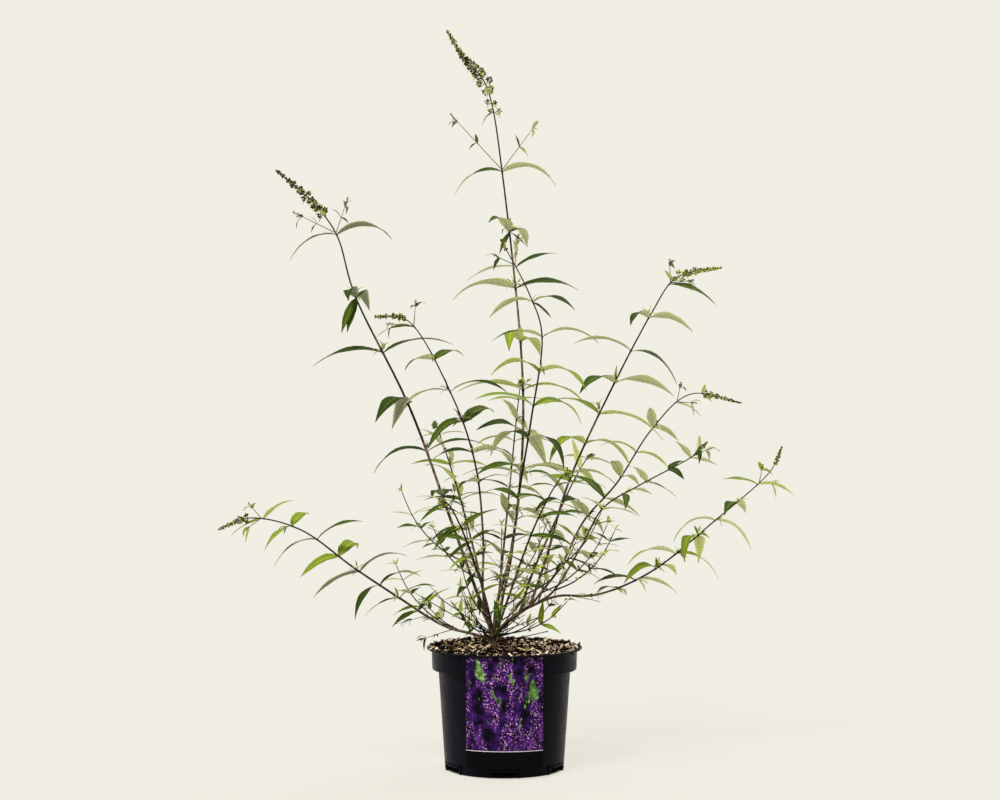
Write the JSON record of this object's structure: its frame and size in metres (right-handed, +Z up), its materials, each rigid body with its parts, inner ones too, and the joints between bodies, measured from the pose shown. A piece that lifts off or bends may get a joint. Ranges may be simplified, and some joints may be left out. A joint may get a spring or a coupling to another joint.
{
  "type": "potted butterfly bush",
  "caption": "Young buddleja shrub with long arching whips, opposite drooping leaves and flower spikes in bud, in a round nursery pot with a hanging picture card.",
  "frame": {"origin": "middle of the pot's flat underside, where it stands on the ground", "axes": "+Z up, -Y towards the side with the picture card, +X to the right of someone facing the card"},
  "size_m": [1.0448, 0.8454, 1.3661],
  "materials": {
    "black_plastic": "satin",
    "potting_mix": "matte",
    "picture_card": "gloss",
    "bark": "matte",
    "leaf_green": "matte"
  },
  "bodies": {
    "root": {"pot": "black_plastic", "soil": "potting_mix", "label": "picture_card", "stump": "bark", "left_limb": "bark", "right_limb": "bark", "tall_left_stem": "bark", "tall_middle_stem": "bark", "second_left_stem": "bark", "middle_right_stem": "bark", "right_upper_stem": "bark", "right_middle_stem": "bark", "right_lower_stem": "bark", "right_arching_stem": "bark", "left_arching_stem": "bark", "back_left_stem": "bark", "back_middle_stem": "bark", "back_right_stem": "bark", "front_left_stem": "bark", "front_right_stem": "bark", "tall_left_leaves": "leaf_green", "tall_middle_leaves": "leaf_green", "second_left_leaves": "leaf_green", "middle_right_leaves": "leaf_green", "right_upper_leaves": "leaf_green", "right_middle_leaves": "leaf_green", "right_lower_leaves": "leaf_green", "right_arching_leaves": "leaf_green", "left_arching_leaves": "leaf_green", "back_left_leaves": "leaf_green", "back_middle_leaves": "leaf_green", "back_right_leaves": "leaf_green", "front_left_leaves": "leaf_green", "front_right_leaves": "leaf_green", "low_shoot_01": "leaf_green", "low_shoot_02": "leaf_green", "low_shoot_03": "leaf_green", "low_shoot_04": "leaf_green", "low_shoot_05": "leaf_green", "low_shoot_06": "leaf_green", "low_shoot_07": "leaf_green", "low_shoot_08": "leaf_green", "low_shoot_09": "leaf_green", "low_shoot_10": "leaf_green", "low_shoot_11": "leaf_green", "low_shoot_12": "leaf_green", "low_shoot_13": "leaf_green", "low_shoot_14": "leaf_green", "low_shoot_15": "leaf_green", "low_shoot_16": "leaf_green", "low_shoot_17": "leaf_green", "low_shoot_18": "leaf_green", "low_shoot_19": "leaf_green", "low_shoot_20": "leaf_green", "low_shoot_21": "leaf_green"}
  },
  "joints": []
}
